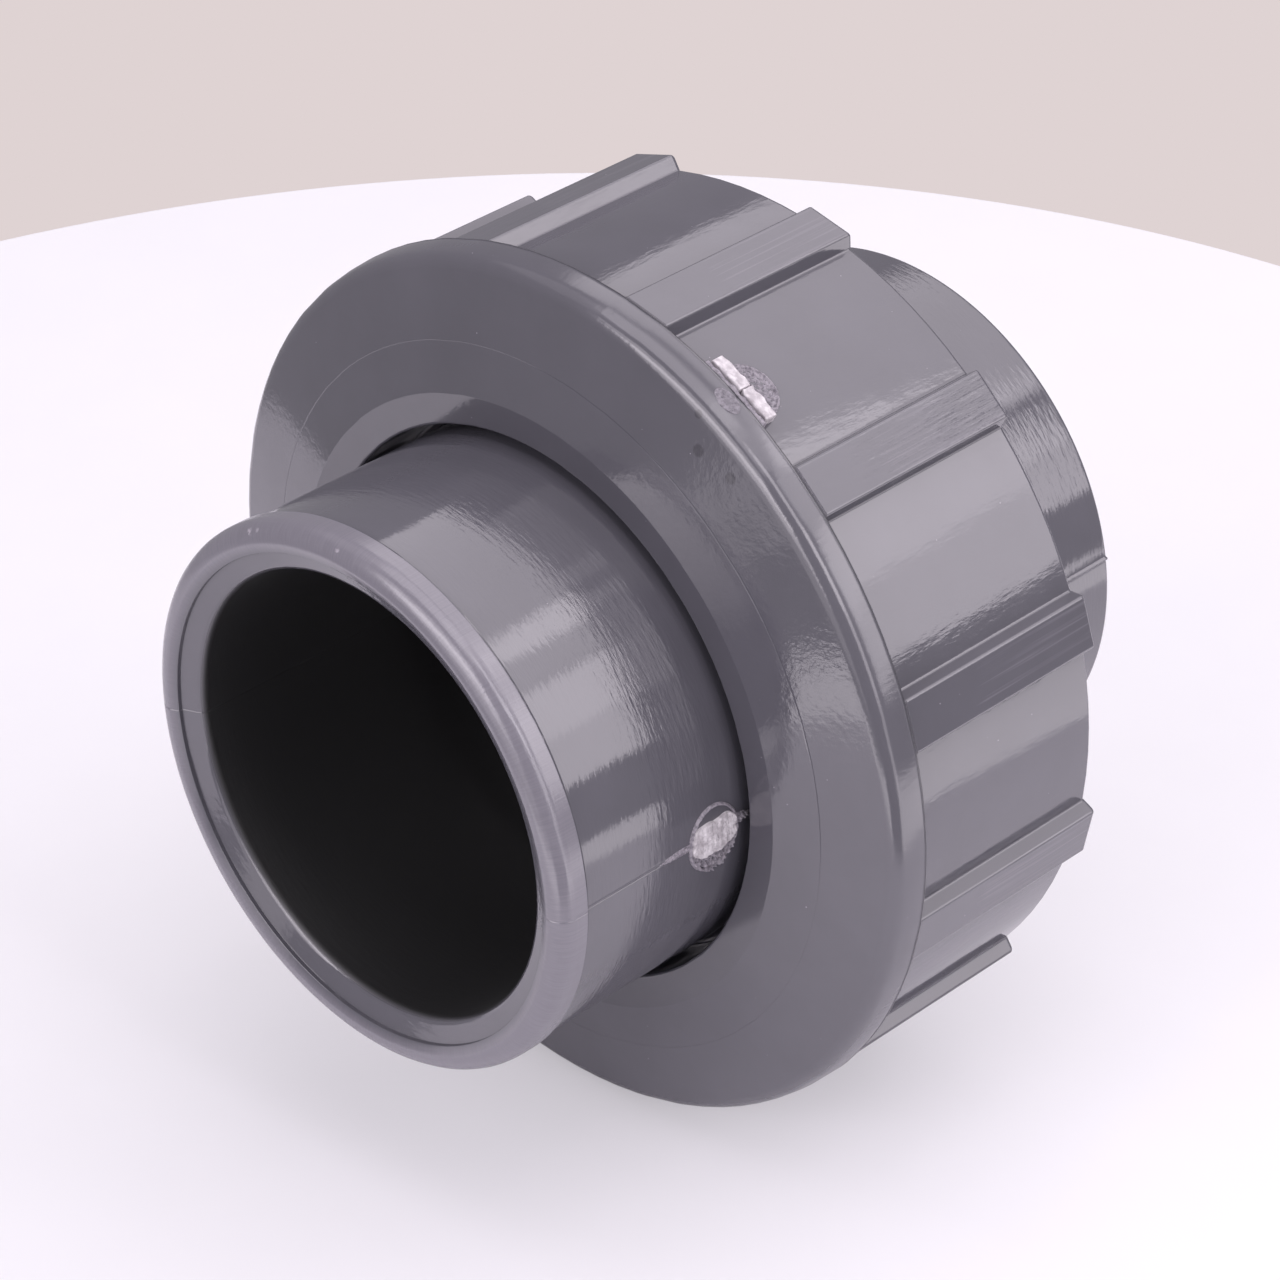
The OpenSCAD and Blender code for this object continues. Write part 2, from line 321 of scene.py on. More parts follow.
def moulded_pvc(name, colour, ripple, ripple_depth, bore=None, satin=None, wear_and_sheen=None, ribs=None,
                dots=(), scuffs=()):
    """Grey rigid PVC as moulded: a glossy skin whose fine flow ripple breaks the edges of reflections.

    ripple is its grains per metre along each axis and ripple_depth its height in metres. Radii and
    places are in mm. Inside the radius bore the socket's wall is painted nearly black as painted shade,
    and dull. satin is (last y, least radius, roughness) of a rounded edge that handling has dulled, and
    wear_and_sheen is the paler grey laid on that edge, partly the wear of fine radial scratches and
    partly a painted sheen. Outside the radius ribs the tops keep the tool's lengthwise lines, with a
    painted highlight along them. dots are dull dark spots and scuffs pale torn ones, each
    (x, y, z, radius).
    """
    material, tree, place = new_material(name)

    # Faint clouds 11 mm across shade the grey by 6 % either way
    cloud = add_node(tree, "TexNoise", {"Vector": place, "Scale": 90.0, "Detail": 3.0, "Roughness": 0.55})
    cloudy = add_node(tree, "MapRange", {"Value": cloud["Fac"], "From Min": 0.3, "From Max": 0.7})
    base = add_node(tree, "Mix", {
        0: cloudy["Result"], 6: linear(colour, 0.94), 7: linear(colour, 1.06)
    }, data_type="RGBA")[2]

    # Specks of pale dust up to 0.15 mm across, in one in five cells of 1.4 mm
    cell = add_node(tree, "TexVoronoi", {"Vector": place, "Scale": 700.0})
    chance = add_node(tree, "SeparateColor", {"Color": cell["Color"]})["Red"]
    dusty = add_node(tree, "MapRange", {"Value": chance, "From Min": 0.8, "From Max": 1.0})
    speck = add_node(tree, "MapRange", {
        "Value": cell["Distance"], "From Min": 0.025, "From Max": 0.055,
        "To Min": dusty["Result"], "To Max": 0.0
    })
    base = add_node(tree, "Mix", {0: speck["Result"], 6: base, 7: linear("#a9a4ad")}, data_type="RGBA")[2]

    # The polish of the mould wavers in patches 4 mm across: roughness 0.06 to 0.1
    polish = add_node(tree, "TexNoise", {"Vector": place, "Scale": 260.0, "Detail": 2.0, "Roughness": 0.55})
    rough = add_node(tree, "MapRange", {
        "Value": polish["Fac"], "From Min": 0.3, "From Max": 0.7, "To Min": 0.06, "To Max": 0.1
    })["Result"]

    # Sinks 11 mm across, orange peel 2.4 mm across and the flow ripple, one over the other
    sinks = add_node(tree, "TexNoise", {"Vector": place, "Scale": 90.0, "Detail": 1.0, "Roughness": 0.55})
    relief = add_node(tree, "Bump", {"Height": sinks["Fac"], "Distance": 0.08 * MM})["Normal"]
    peel = add_node(tree, "TexNoise", {"Vector": place, "Scale": 420.0, "Detail": 1.0, "Roughness": 0.55})
    relief = add_node(tree, "Bump", {
        "Height": peel["Fac"], "Distance": 0.005 * MM, "Normal": relief
    })["Normal"]
    flow = add_node(tree, "Mapping", {"Vector": place, "Scale": ripple})
    waves = add_node(tree, "TexNoise", {
        "Vector": flow["Vector"], "Scale": 1.0, "Detail": 3.0, "Roughness": 0.55
    })
    relief = add_node(tree, "Bump", {
        "Height": waves["Fac"], "Distance": ripple_depth, "Normal": relief
    })["Normal"]

    # Distance from the pipe's axis, and the place along it
    across = add_node(tree, "VectorMath", {0: place, 1: (1, 0, 1)}, operation="MULTIPLY")["Vector"]
    radius = add_node(tree, "VectorMath", {0: across}, operation="LENGTH")["Value"]
    x, y, z = add_node(tree, "SeparateXYZ", {0: place})
    if satin:
        last_y, least_r, satin_rough = satin
        outer = add_node(tree, "MapRange", {
            "Value": radius, "From Min": least_r * MM, "From Max": (least_r + 1) * MM
        })["Result"]
        edge = add_node(tree, "MapRange", {
            "Value": y, "From Min": last_y * MM, "From Max": (last_y + 0.4) * MM,
            "To Min": outer, "To Max": 0.0
        })["Result"]
        rough = add_node(tree, "Mix", {0: edge, 2: rough, 3: satin_rough})[0]
    if wear_and_sheen:
        # Scratches 0.17 mm wide and 2 mm long, laid out by the turn in radians and the radius.
        # Real ones are finer, and are drawn this wide to show.
        turn = add_node(tree, "Math", {0: x, 1: z}, operation="ARCTAN2")[0]
        fan = add_node(tree, "CombineXYZ", {"X": turn, "Y": radius})[0]
        fine = add_node(tree, "Mapping", {"Vector": fan, "Scale": (170, 500, 1)})["Vector"]
        hatch = add_node(tree, "TexNoise", {
            "Vector": fine, "Scale": 1.0, "Detail": 2.0, "Roughness": 0.55
        })["Fac"]
        scratch = add_node(tree, "Math", {0: hatch, 1: edge}, operation="MULTIPLY")[0]
        relief = add_node(tree, "Bump", {
            "Height": scratch, "Distance": 0.012 * MM, "Normal": relief
        })["Normal"]
        # The edge is painted a paler grey, 50 to 65 % of the way: partly the scratches' wear and partly a
        # painted sheen
        streak = add_node(tree, "MapRange", {
            "Value": hatch, "From Min": 0.35, "From Max": 0.7, "To Min": 0.5, "To Max": 0.65
        })["Result"]
        paler = add_node(tree, "Math", {0: edge, 1: streak}, operation="MULTIPLY")[0]
        base = add_node(tree, "Mix", {0: paler, 6: base, 7: linear(wear_and_sheen)}, data_type="RGBA")[2]
    if ribs:
        # Lines 0.28 mm apart and 25 mm long, as coarse as they need to be to show. They fade in
        # along the ribs over the 8 mm behind y -6.
        rear = add_node(tree, "MapRange", {"Value": y, "From Min": -6 * MM, "From Max": 2 * MM})["Result"]
        tops = add_node(tree, "MapRange", {
            "Value": radius, "From Min": (ribs - 0.4) * MM, "From Max": (ribs - 0.1) * MM, "To Max": rear
        })["Result"]
        drawn = add_node(tree, "Mapping", {"Vector": place, "Scale": (3600, 40, 3600)})["Vector"]
        lines = add_node(tree, "TexNoise", {
            "Vector": drawn, "Scale": 1.0, "Detail": 3.0, "Roughness": 0.55
        })["Fac"]
        scored = add_node(tree, "Math", {0: lines, 1: tops}, operation="MULTIPLY")[0]
        relief = add_node(tree, "Bump", {
            "Height": scored, "Distance": 0.008 * MM, "Normal": relief
        })["Normal"]
        # A paler grey is painted along the lines, up to 15 %, as a painted highlight of their glints
        painted_line_highlight = add_node(tree, "MapRange", {
            "Value": scored, "From Min": 0.52, "From Max": 0.7, "To Max": 0.15
        })["Result"]
        base = add_node(tree, "Mix", {0: painted_line_highlight, 6: base, 7: linear("#a09ca5")}, data_type="RGBA")[2]
    if bore:
        # The socket's wall is painted nearly black and dull, as painted shade, because the lamps would light
        # it grey
        inside = add_node(tree, "MapRange", {
            "Value": radius, "From Min": (bore + 0.03) * MM, "From Max": (bore + 0.4) * MM,
            "To Min": 1.0, "To Max": 0.0
        })["Result"]
        base = add_node(tree, "Mix", {0: inside, 6: base, 7: linear("#040406")}, data_type="RGBA")[2]
        rough = add_node(tree, "Mix", {0: inside, 2: rough, 3: 0.6})[0]

    for *spot, size in dots:
        middle = [MM * v for v in spot]
        apart = add_node(tree, "VectorMath", {0: place, 1: middle}, operation="DISTANCE")
        dull = add_node(tree, "MapRange", {
            "Value": apart["Value"], "From Min": 0.8 * size * MM, "From Max": 1.15 * size * MM,
            "To Min": 0.5, "To Max": 0.0
        })
        base = add_node(tree, "Mix", {0: dull["Result"], 6: base, 7: linear("#2c2a30")}, data_type="RGBA")[2]
    for *spot, size in scuffs:
        # Crumbs 0.4 mm across break up each spot
        middle = [MM * v for v in spot]
        apart = add_node(tree, "VectorMath", {0: place, 1: middle}, operation="DISTANCE")
        crumb = add_node(tree, "TexNoise", {
            "Vector": place, "Scale": 2600.0, "Detail": 2.0, "Roughness": 0.55
        })
        torn = add_node(tree, "MapRange", {"Value": crumb["Fac"], "From Min": 0.45, "From Max": 0.55})
        pale = add_node(tree, "MapRange", {
            "Value": apart["Value"], "From Min": 0.5 * size * MM, "From Max": 1.2 * size * MM,
            "To Min": torn["Result"], "To Max": 0.0
        })
        base = add_node(tree, "Mix", {0: pale["Result"], 6: base, 7: linear("#a39ea6")}, data_type="RGBA")[2]

    shader = add_node(tree, "BsdfPrincipled", {
        "Base Color": base, "Roughness": rough, "IOR": PVC_IOR, "Specular IOR Level": 0.95, "Normal": relief
    })
    add_node(tree, "OutputMaterial", {"Surface": shader["BSDF"]})
    return material


FLOW_ROUND = (450, 2200, 450)  # ripples 2.2 mm long round the pipe and 0.45 mm apart along it
FLOW_DEPTH = 0.026 * MM
threaded_body.data.materials.append(
    moulded_pvc("body PVC, moulded", "#58575e", FLOW_ROUND, FLOW_DEPTH, bore=bore_r)
)


# O-ring: the rubber seal that lies in the body's groove and that the tail piece flattens.
# Compression-moulded black EPDM, matt with a faint bloom. Only an opened union shows it.
o_ring = frame["nodes"]["o_ring"]
# The bloom is a greyer haze in clouds 2.5 mm across, and the skin's fine pores, drawn 0.4 mm
# across to show, leave it dull
rubber, tree, place = new_material("EPDM rubber, moulded")
bloom = add_node(tree, "TexNoise", {"Vector": place, "Scale": 400.0, "Detail": 3.0, "Roughness": 0.55})
dusty = add_node(tree, "MapRange", {"Value": bloom["Fac"], "From Min": 0.35, "From Max": 0.65})
black = add_node(tree, "Mix", {
    0: dusty["Result"], 6: linear("#161618"), 7: linear("#262628")
}, data_type="RGBA")
pores = add_node(tree, "TexNoise", {"Vector": place, "Scale": 2500.0, "Detail": 2.0, "Roughness": 0.55})
skin = add_node(tree, "Bump", {"Height": pores["Fac"], "Distance": 0.01 * MM})
shader = add_node(tree, "BsdfPrincipled", {
    "Base Color": black[2], "Roughness": 0.6, "IOR": 1.5, "Normal": skin["Normal"]
})
add_node(tree, "OutputMaterial", {"Surface": shader["BSDF"]})
o_ring.data.materials.clear()
o_ring.data.materials.append(rubber)
o_ring.data.shade_smooth()


# Tail piece: the socket end that the nut draws up, injection-moulded in grey PVC.
# Its mouth is a rounded bead with a fine witness line where the core's shoulder met the cavity.
# Behind the barrel a collar, hidden in the nut, takes the pull of the thread.
tail_low, tail_high = in_mm("tail_piece")
mouth_y = tail_low[1]
collar_r = tail_high[0]
LIP_R = 29.75
LIP_ROUND = 2.0
LIP_LENGTH = 3.7
LIP_FALL = 0.25
COLLAR_Y = -8.0
lip_foot = mouth_y + LIP_LENGTH
tail_outline = rounded_outline([
    (0, WATERWAY_R, 0.3),
    (-STOP_Y, WATERWAY_R, 0.3),
    (-STOP_Y, bore_r, 0.4),
    (-mouth_plane + LEAD_IN, bore_r, 1.0),
    (-mouth_plane, mouth_r, 0.03),
    (-mouth_plane - MOUTH_STEP, mouth_r, 0.08),
    (mouth_y, LIP_R - LIP_ROUND - 0.15, 0.8),
    (mouth_y, LIP_R, LIP_ROUND - 0.02),
    (lip_foot - LIP_FALL, LIP_R, 0.12),
    (lip_foot, HUB_R - 0.1, 0.05),
    (lip_foot + 0.2, HUB_R, 0.1),
    (COLLAR_Y, HUB_R, 0.8),
    (COLLAR_Y, collar_r, 0.6),
    (0, collar_r, 0.6)
])
TAIL_FLASH = [92.5, -90.5]
tail_columns = columns_round(TAIL_FLASH)
tail_rise = flash_lines(
    tail_outline, tail_columns, TAIL_FLASH, height=0.09, half_width=0.11, from_y=-39.4, to_y=COLLAR_Y
)
tail_normal = outward(tail_outline)
tail_grid = turned(tail_outline, tail_columns) + turned(tail_normal, tail_columns) * tail_rise[..., None]
tail_piece = piece_of("tail_piece_moulding", [tail_grid])
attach(tail_piece, "tail_end")
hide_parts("tail_piece")
# Spots where the bead was knocked
LIP_MARKS = [
    (-12.2, -40.1, 26.3, 0.5), (-11.0, -40.1, 27.0, 0.35), (1.0, -40.2, 29.0, 0.45), (19.5, -40.0, 22.4, 0.3)
]
LIP_ROUGHNESS = 0.21
# The bead's edge is painted a paler grey, partly its wear and partly a painted sheen
tail_piece.data.materials.append(moulded_pvc(
    "tail PVC, moulded", "#57565d", FLOW_ROUND, FLOW_DEPTH, bore=bore_r,
    satin=(lip_foot - 0.3, mouth_r, LIP_ROUGHNESS), wear_and_sheen="#84818a", scuffs=LIP_MARKS
))

CRUMPLE_WAVES = 24


def crumpled(a, b, size, seed):
    """Random relief with a spread of about 1: a sum of CRUMPLE_WAVES sines over the plane (a, b).

    Their directions, phases and wavelengths, 0.6 to 1.6 times size, come from a seeded draw. The
    sum is divided by the root of half their number, which is its spread.
    """
    draw = np.random.default_rng(seed)
    turn, phase = draw.uniform(0, 2 * math.pi, (2, CRUMPLE_WAVES))
    rate = 2 * math.pi / (size * draw.uniform(0.6, 1.6, CRUMPLE_WAVES))
    waves = np.sin((a[..., None] * np.cos(turn) + b[..., None] * np.sin(turn)) * rate + phase)
    return waves.sum(-1) / math.sqrt(CRUMPLE_WAVES / 2)


def patch_plane(half_along, half_round, rings=56, spokes=168):
    """Polar grid of an oval, as u, along and around.

    u falls from 1 at its rim to nearly 0, along is half_along * u * cos(t), and around is
    half_round * u * sin(t).
    """
    u = np.linspace(1, 0.02, rings)[:, None] + 0 * np.arange(spokes)
    t = np.linspace(0, 2 * math.pi, spokes, endpoint=False)
    return u, half_along * u * np.cos(t), half_round * u * np.sin(t)


def sunk_rim(u, edge, depth, height):
    """A patch's height, but past u = edge a depth below the surface, which hides the patch's rim."""
    return np.where(u > edge, -depth, height)


def laid_on(radius, middle_y, middle_angle, along, around, height):
    """Lays a patch on a turned surface of that radius: around is arc length, height stands out.

    Its point lies at the angle middle_angle + around / radius and at radius + height.
    """
    angle = math.radians(middle_angle) + around / radius
    r = radius + height
    return np.stack([r * np.sin(angle), middle_y + along, r * np.cos(angle)], -1)[:, ::-1]


def broken_pvc(name, pale, dark, grain, roughness):
    """PVC where the sprue was cut or torn off: dull, whitened by the strain, and mottled.

    grain is the mottle's grains per metre. The torn relief under it is a little finer.
    """
    material, tree, place = new_material(name)
    strain = add_node(tree, "TexNoise", {"Vector": place, "Scale": grain, "Detail": 4.0, "Roughness": 0.55})
    mottle = add_node(tree, "MapRange", {"Value": strain["Fac"], "From Min": 0.38, "From Max": 0.6})
    base = add_node(tree, "Mix", {0: mottle["Result"], 6: linear(dark), 7: linear(pale)}, data_type="RGBA")
    tear = add_node(tree, "TexNoise", {
        "Vector": place, "Scale": 1.3 * grain, "Detail": 4.0, "Roughness": 0.55
    })
    relief = add_node(tree, "Bump", {"Height": tear["Fac"], "Distance": 0.06 * MM})
    shader = add_node(tree, "BsdfPrincipled", {
        "Base Color": base[2], "Roughness": roughness, "IOR": PVC_IOR, "Normal": relief["Normal"]
    })
    add_node(tree, "OutputMaterial", {"Surface": shader["BSDF"]})
    return material


# The tail's gate scar: a thin rim, a hollow above, the white flat that the cutter left across the
# middle, and the crumpled skin that tore below it. A smear of flash and a spur join it.
# Places are mm along the pipe and degrees round it, sizes half the length and half the width in mm.
SCAR_Y, SCAR_ANGLE = -19.4, 93.4
SCAR_HALF, SCAR_HALF_ROUND = 3.45, 3.8
RIM_HEIGHT = 0.22
HOLLOW = 0.35
CUT_HALF, CUT_HALF_ROUND = 3.0, 1.85
CUT_HEIGHT = 0.36
SMEAR_Y, SMEAR_ANGLE = -24.6, 92.7
SMEAR_HALF, SMEAR_HALF_ROUND = 2.6, 0.75
SPUR_Y, SPUR_ANGLE = -15.4, 92.3
SPUR_HALF, SPUR_HALF_ROUND = 1.3, 0.9

# The hollow begins 1.2 mm above the middle and the crumpled skin 1.2 mm below it
u, along, around = patch_plane(SCAR_HALF, SCAR_HALF_ROUND)
rim = RIM_HEIGHT * np.exp(-((u - 0.93) / 0.035) ** 2)
bowl = 0.1 - HOLLOW * np.clip(-around - 1.2, 0, 1) * (u < 0.9)
torn = 0.16 * crumpled(along, around, 0.55, 3) * np.clip(around - 1.2, 0, 1) * (u < 0.97)
fine_relief = 0.03 * crumpled(along, around, 0.4, 5)
scar_height = sunk_rim(u, 0.985, 0.3, bowl + rim + torn + fine_relief)
torn_patch = laid_on(HUB_R, SCAR_Y, SCAR_ANGLE, along, around, scar_height)
tail_scar = piece_of("tail_gate_torn_skin", [], [torn_patch])

# The cut face is an oval filled out towards a rectangle, with blade marks across it and wavy sides
u, along, around = patch_plane(CUT_HALF, CUT_HALF_ROUND)
fuller = 1 + 0.22 * np.abs(np.sin(2 * np.arctan2(around / CUT_HALF_ROUND, along / CUT_HALF)))
along, around = along * fuller, around * fuller
blade_marks = 0.03 * crumpled(along, around, 0.5, 9) + 0.02 * np.sin(along * 9)
cut_height = sunk_rim(u, 0.94, 0.2, CUT_HEIGHT + blade_marks)
lean = around - 0.2 + 0.07 * crumpled(along, 0 * along, 2.6, 4)
tail_cut = piece_of("tail_gate_cut_face", [], [laid_on(HUB_R, SCAR_Y, SCAR_ANGLE, along, lean, cut_height)])

# The smear before the scar and the spur behind it widen towards it, and thin out from their middles
u, along, around = patch_plane(SMEAR_HALF, SMEAR_HALF_ROUND, rings=30, spokes=90)
smear_height = sunk_rim(u, 0.97, 0.1, 0.3 * (1 - u) + 0.03 * crumpled(along, around, 0.4, 41))
smear_round = around * (0.25 + 0.28 * (along / SMEAR_HALF + 1))
smear = laid_on(HUB_R, SMEAR_Y, SMEAR_ANGLE, along, smear_round, smear_height)
u, along, around = patch_plane(SPUR_HALF, SPUR_HALF_ROUND, rings=30, spokes=90)
spur_height = sunk_rim(u, 0.97, 0.1, 0.35 * (1 - u) + 0.09 * crumpled(along, around, 0.45, 43))
spur = laid_on(HUB_R, SPUR_Y, SPUR_ANGLE, along, around * (0.65 - 0.25 * along), spur_height)
tail_smear = piece_of("tail_gate_smear_and_spur", [], [smear, spur])
for scar in (tail_scar, tail_cut, tail_smear):
    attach(scar, "tail_end")
# Torn skin stays grey, mottled in grains of 0.3 mm, and still shines a little. The cut face is
# whitened by the strain, in patches 0.9 mm across, and dull.
torn_pvc = broken_pvc("PVC, torn", "#9a959d", "#716d75", grain=3200.0, roughness=0.35)
cut_pvc = broken_pvc("PVC, cut and whitened", "#dbd7da", "#b2adb1", grain=1100.0, roughness=0.55)
tail_scar.data.materials.append(torn_pvc)
tail_smear.data.materials.append(torn_pvc)
tail_cut.data.materials.append(cut_pvc)


# Union nut: the large ring that turns by hand or strap wrench, injection-moulded in grey PVC.
# It has a shallow conical face, a flange with a crowned rim, and twelve drafted grip ribs.
# Inside, behind its shoulder, runs a coarse thread that meshes with the body's.
nut_low, nut_high = in_mm("union_nut")
face_y, nut_end = nut_low[1], nut_high[1]
rim_r = nut_high[0]
HOLE_R = 30.5
RING_WIDTH = 3.5
RING_FALL = 0.23
FACE_SLOPE = math.radians(14)
RIM_CROWN = 12.0
RIM_ROUND = 1.8
FLANGE_WIDTH = 7.0
FLANGE_STEP = 0.4
BARREL_R = 45.9
RIBS = 12
RIB_R = 47.45
RIB_TOP = 5.5
RIB_FOOT = 6.3
RIB_EDGE = 0.3
RIB_FOOT_ROUND = 0.25
RIB_FOOT_CLEAR = 0.35  # how far before a rib's foot the barrel's arc ends
SHOULDER_Y = -8.1
THREAD_GAP = 0.5  # between the two threads, from root to crest
NUT_THREAD_ROOT = 3.31
NUT_THREAD_CREST = 1.96
flange_back = face_y + FLANGE_WIDTH
nut_root_r = thread_r + THREAD_GAP
nut_crest_r = core_r + THREAD_GAP


def ribbed_section():
    """The nut's barrel cut square to its axis, as a closed outline (x, z).

    Each rib has two foot and two top corners at (side, height) about its own middle. Between two
    ribs one corner, where the barrel's tangents meet, carries an arc of the barrel's own radius.
    """
    foot_side = RIB_FOOT / 2
    foot_height = math.sqrt(BARREL_R ** 2 - foot_side ** 2)
    half_gap = math.pi / RIBS - math.asin((foot_side + RIB_FOOT_CLEAR) / BARREL_R)
    side, height, fillet, beyond = np.array([
        (-foot_side, foot_height, RIB_FOOT_ROUND, 0),
        (-RIB_TOP / 2, RIB_R, RIB_EDGE, 0),
        (RIB_TOP / 2, RIB_R, RIB_EDGE, 0),
        (foot_side, foot_height, RIB_FOOT_ROUND, 0),
        (0, BARREL_R / math.cos(half_gap), BARREL_R, math.pi / RIBS)
    ]).T
    turn = (np.arange(RIBS)[:, None] + 0.5) * 2 * math.pi / RIBS + beyond
    x = height * np.sin(turn) + side * np.cos(turn)
    z = height * np.cos(turn) - side * np.sin(turn)
    return rounded_outline(np.stack([x, z, fillet + 0 * x], -1).reshape(-1, 3))


# The rim is crowned by an arc of RIM_CROWN about a centre in the plane of the flange's back, and a
# rounding of RIM_ROUND leads from the cone into it. All of this is in the plane (y, r).
crown_centre = np.array([flange_back, rim_r - RIM_CROWN])
cone = np.array([math.sin(FACE_SLOPE), math.cos(FACE_SLOPE)])
inward = np.array([math.cos(FACE_SLOPE), -math.sin(FACE_SLOPE)])
ring_edge = np.array([face_y, HOLE_R + RING_WIDTH])
# The rounding's centre is RIM_ROUND inside the cone and RIM_CROWN - RIM_ROUND from the crown's
offset = ring_edge + RIM_ROUND * inward - crown_centre
up_cone = offset @ cone
offset += cone * (math.sqrt(up_cone ** 2 - offset @ offset + (RIM_CROWN - RIM_ROUND) ** 2) - up_cone)
touch = crown_centre + offset * RIM_CROWN / (RIM_CROWN - RIM_ROUND)
touch_angle = math.atan2(-offset[0], offset[1])
tangent = np.array([math.cos(touch_angle), math.sin(touch_angle)])
# Corner of the cone with the crown's tangent, and of that tangent with the flange's own radius
solved = np.linalg.solve(np.stack([cone, -tangent], 1), touch - ring_edge)
rim_front = ring_edge + solved[0] * cone
rim_top = touch + tangent * (rim_r - touch[1]) / tangent[1]
# Fine circle that the edge of a tool insert left in the cone
WITNESS_R = 39.1
WITNESS_HALF = 0.1
WITNESS_DEPTH = 0.025
witness_y = face_y + (WITNESS_R - HOLE_R - RING_WIDTH) * math.tan(FACE_SLOPE)
witness_rise = WITNESS_HALF / 2 * math.tan(FACE_SLOPE)
nut_outline = rounded_outline([
    (SHOULDER_Y, HOLE_R, 0.2),
    (face_y + RING_FALL, HOLE_R, 0.35),
    (ring_edge[0], ring_edge[1], 0.4),
    (witness_y - witness_rise, WITNESS_R - WITNESS_HALF, 0.03),
    (witness_y + WITNESS_DEPTH, WITNESS_R, 0.03),
    (witness_y + witness_rise, WITNESS_R + WITNESS_HALF, 0.03),
    (rim_front[0], rim_front[1], RIM_ROUND),
    (rim_top[0], rim_top[1], RIM_CROWN),
    (flange_back, rim_r, 0.12),
    (flange_back + FLANGE_STEP, BARREL_R, 0.2),
    (nut_end, BARREL_R, 0.4),
    (nut_end, nut_root_r + 1, 0.2),
    (nut_end - 1, nut_root_r, 0.3),
    (SHOULDER_Y, nut_root_r, 0.5)
])
section = ribbed_section()
columns = np.arctan2(section[:, 0], section[:, 1])
stand_out = np.linalg.norm(section, axis=1) / BARREL_R - 1
nut_grid = turned(nut_outline, columns)
# Outside the thread's chamfer and behind the flange, x and z grow by the ribs' share
y_of, r_of = nut_outline[:, :1], nut_outline[:, 1:]
ribbed = np.clip((y_of - flange_back) / FLANGE_STEP, 0, 1) * (r_of > nut_root_r + 1.5)
nut_grid[..., 0::2] *= 1 + (ribbed * stand_out)[..., None]
union_nut = piece_of(
    "union_nut_moulding",
    [nut_grid],
    [thread_ridge(nut_root_r, nut_crest_r, NUT_THREAD_ROOT, NUT_THREAD_CREST,
                  start_y=0.15, turns=2.95, pitch=PITCH)]
)
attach(union_nut, "nut")
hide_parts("union_nut")
# Dull dots that cold material left in the cone
COLD_DOTS = [(23.69, -13.44, 36.62, 0.65), (27.65, -13.21, 34.89, 0.6), (23.23, -12.76, 40.11, 0.45)]
FLOW_ALONG = (1600, 400, 1600)  # ripples 2.5 mm long along the axis and 0.6 mm apart across it
NUT_FLOW_DEPTH = 0.015 * MM
RIM_ROUGHNESS = 0.16
union_nut.data.materials.append(moulded_pvc(
    "nut PVC, moulded", "#56555c", FLOW_ALONG, NUT_FLOW_DEPTH,
    satin=(flange_back - 0.3, BARREL_R - 0.4, RIM_ROUGHNESS), ribs=RIB_R, dots=COLD_DOTS
))

STUB_FOOT_R = 45.2
STUB_MIDDLE_R = 46


def stub(from_angle, to_angle, front_y, back_y, top_r, seed):
    """Grid of a length of the sprue's stub: a rounded section (y, r) turned between two angles.

    It stands on STUB_FOOT_R, inside the barrel. Every point is pushed along r and then along y by
    seeded reliefs, whose arc length is measured at STUB_MIDDLE_R.
    """
    outline = rounded_outline([
        (front_y, STUB_FOOT_R, 0.1),
        (front_y + 0.1, top_r, 0.2),
        (back_y - 0.2, top_r - 0.1, 0.2),
        (back_y, STUB_FOOT_R, 0.1)
    ], arc_points=5)
    angles = np.radians(np.linspace(from_angle, to_angle, 70))
    y, r = outline[:, :1] + 0 * angles, outline[:, 1:] + 0 * angles
    arc = STUB_MIDDLE_R * angles + 0 * y
    r = r + 0.04 * crumpled(arc, 2 * y, 1.1, seed)
    y = y + 0.06 * crumpled(arc, r, 1.3, seed + 1)
    return np.stack([r * np.sin(angles), y, r * np.cos(angles)], -1).transpose(1, 0, 2)[:, ::-1]


# The nut's gate scar, a circle across the flange's step: grey torn skin on the crowned rim and on
# the barrel, and between them the stub of the sprue, white where it was cut, in two lengths.
SCUFF_Y, SCUFF_ANGLE = -10.1, 31.0
SCUFF_HALF, SCUFF_HALF_ROUND = 0.95, 1.7
SKIN_Y, SKIN_ANGLE = -5.7, 30.2
SKIN_HALF, SKIN_HALF_ROUND = 3.0, 3.5
SKIN_RIM = 0.16

# The scuff follows the rim's crown, which falls away by the height of its arc
u, along, around = patch_plane(SCUFF_HALF, SCUFF_HALF_ROUND)
scuff_height = sunk_rim(u, 0.97, 0.12, 0.04 + 0.025 * crumpled(along, around, 0.5, 12))
crown_fall = RIM_CROWN - np.sqrt(RIM_CROWN ** 2 - (along + SCUFF_Y - flange_back) ** 2)
rim_scar = laid_on(rim_r - crown_fall, SCUFF_Y, SCUFF_ANGLE, along, around, scuff_height)

# On the barrel a raised rim runs round the rear half, and the front half ends under the stub
u, along, around = patch_plane(SKIN_HALF, SKIN_HALF_ROUND)
raised = SKIN_RIM * np.exp(-((u - 0.9) / 0.06) ** 2) * (along > 0)
skin_height = sunk_rim(u, 0.97, 0.25, 0.05 + raised) + 0.06 * crumpled(along, around, 0.5, 15) * (u < 0.95)
barrel_scar = laid_on(BARREL_R, SKIN_Y, SKIN_ANGLE, along.clip(-0.2, None), around, skin_height)
torn_wall = stub(24.9, 35.4, front_y=-8.5, back_y=-7.5, top_r=47.2, seed=51)
cut_lengths = [
    stub(from_angle, to_angle, front_y=-7.7, back_y=-5.9, top_r=47.4, seed=seed)
    for from_angle, to_angle, seed in [(25.3, 30.25, 21), (30.5, 35.0, 31)]
]
nut_scar = piece_of("nut_gate_torn_skin", [], [barrel_scar, torn_wall])
